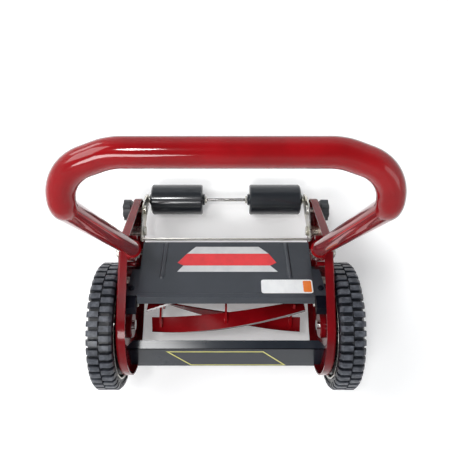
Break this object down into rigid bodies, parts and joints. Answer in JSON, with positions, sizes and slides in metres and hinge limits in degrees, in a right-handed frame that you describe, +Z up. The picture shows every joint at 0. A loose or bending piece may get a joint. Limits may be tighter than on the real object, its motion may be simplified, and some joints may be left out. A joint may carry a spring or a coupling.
{
  "type": "reel mower",
  "caption": "Small hand-pushed reel mower with helical blades, geared wheels, sloping cover, rear rollers and an upright loop handle.",
  "frame": {"origin": "on the ground under the middle of the bounding box", "axes": "+Z up, +X to the right, -Y the way the mower is pushed"},
  "size_m": [0.353, 0.305, 0.4951],
  "materials": {
    "red_enamel": "gloss enamel",
    "charcoal_paint": "satin paint",
    "black_paint": "satin paint",
    "zinc": "zinc plated",
    "steel": "bright steel",
    "gear_iron": "oiled",
    "bronze": "sintered bronze",
    "tyre_black": "moulded",
    "wheel_black": "moulded",
    "knob_grey": "moulded"
  },
  "bodies": {
    "chassis": {"side_frame_left": "red_enamel", "side_frame_right": "red_enamel", "front_bar": "charcoal_paint", "front_bar_screws": "zinc", "tie_rod": "steel", "tie_rod_nuts": "zinc", "knife_carrier": "black_paint", "bed_knife": "steel", "knife_screws": "zinc", "carrier_bolts": "zinc", "cover": "charcoal_paint", "cover_screws": "zinc", "cover_block_left": "wheel_black", "cover_block_right": "wheel_black", "axles": "steel", "axle_bosses": "zinc", "axle_nuts": "zinc", "bearing_housing_left": "zinc", "bearing_housing_right": "zinc", "reel_bearings": "bronze", "pivot_bolts": "zinc", "pivot_spacers": "zinc", "handle_stops": "zinc", "swing_pivots": "zinc"},
    "wheel_left": {"tyre_left": "tyre_black", "wheel_left": "wheel_black", "ring_gear_left": "gear_iron", "hub_cap_left": "knob_grey", "wheel_bush_left": "bronze"},
    "wheel_right": {"tyre_right": "tyre_black", "wheel_right": "wheel_black", "ring_gear_right": "gear_iron", "hub_cap_right": "knob_grey", "wheel_bush_right": "bronze"},
    "reel": {"reel_shaft": "steel", "spider_left": "red_enamel", "spider_centre": "red_enamel", "spider_right": "red_enamel", "reel_blade_1": "red_enamel", "reel_blade_2": "red_enamel", "reel_blade_3": "red_enamel", "reel_blade_4": "red_enamel", "reel_blade_5": "red_enamel", "pinion_left": "gear_iron", "pinion_right": "gear_iron"},
    "handle": {"handle_loop": "red_enamel", "handle_foot_left": "red_enamel", "handle_foot_right": "red_enamel"},
    "roller_frame": {"roller_arm_left": "zinc", "roller_arm_right": "zinc", "cross_strip": "zinc", "knob_studs": "zinc", "roller_rod": "steel", "rod_nuts": "zinc"},
    "roller_left": {"roller_left": "wheel_black"},
    "roller_right": {"roller_right": "wheel_black"},
    "height_knob_left": {"height_knob_left": "knob_grey"},
    "height_knob_right": {"height_knob_right": "knob_grey"}
  },
  "joints": [
    {"name": "wheel_left_spin", "type": "hinge", "parent": "chassis", "child": "wheel_left", "pos_m": [-0.1595, -0.0645, 0.088], "axis": [1, 0, 0], "continuous": true},
    {"name": "wheel_right_spin", "type": "hinge", "parent": "chassis", "child": "wheel_right", "pos_m": [0.1595, -0.0645, 0.088], "axis": [1, 0, 0], "continuous": true},
    {"name": "reel_spin", "type": "hinge", "parent": "chassis", "child": "reel", "pos_m": [0, -0.02038, 0.075], "axis": [1, 0, 0], "continuous": true},
    {"name": "handle_fold", "type": "hinge", "parent": "chassis", "child": "handle", "pos_m": [0, 0.0335, 0.138], "axis": [1, 0, 0], "range_deg": [-60, 10]},
    {"name": "height_adjust", "type": "hinge", "parent": "chassis", "child": "roller_frame", "pos_m": [0, 0.0735, 0.057], "axis": [1, 0, 0], "range_deg": [-6, 10]},
    {"name": "roller_left_spin", "type": "hinge", "parent": "roller_frame", "child": "roller_left", "pos_m": [-0.077, 0.1285, 0.024], "axis": [1, 0, 0], "continuous": true},
    {"name": "roller_right_spin", "type": "hinge", "parent": "roller_frame", "child": "roller_right", "pos_m": [0.077, 0.1285, 0.024], "axis": [1, 0, 0], "continuous": true},
    {"name": "knob_left_turn", "type": "hinge", "parent": "roller_frame", "child": "height_knob_left", "pos_m": [-0.147, 0.1055, 0.059], "axis": [-1, 0, 0], "range_deg": [0, 360]},
    {"name": "knob_right_turn", "type": "hinge", "parent": "roller_frame", "child": "height_knob_right", "pos_m": [0.147, 0.1055, 0.059], "axis": [1, 0, 0], "range_deg": [0, 360]}
  ],
  "couplings": [
    {"joint": "wheel_right_spin", "follows": "wheel_left_spin", "ratio": 1},
    {"joint": "reel_spin", "follows": "wheel_left_spin", "ratio": 4.2857}
  ]
}
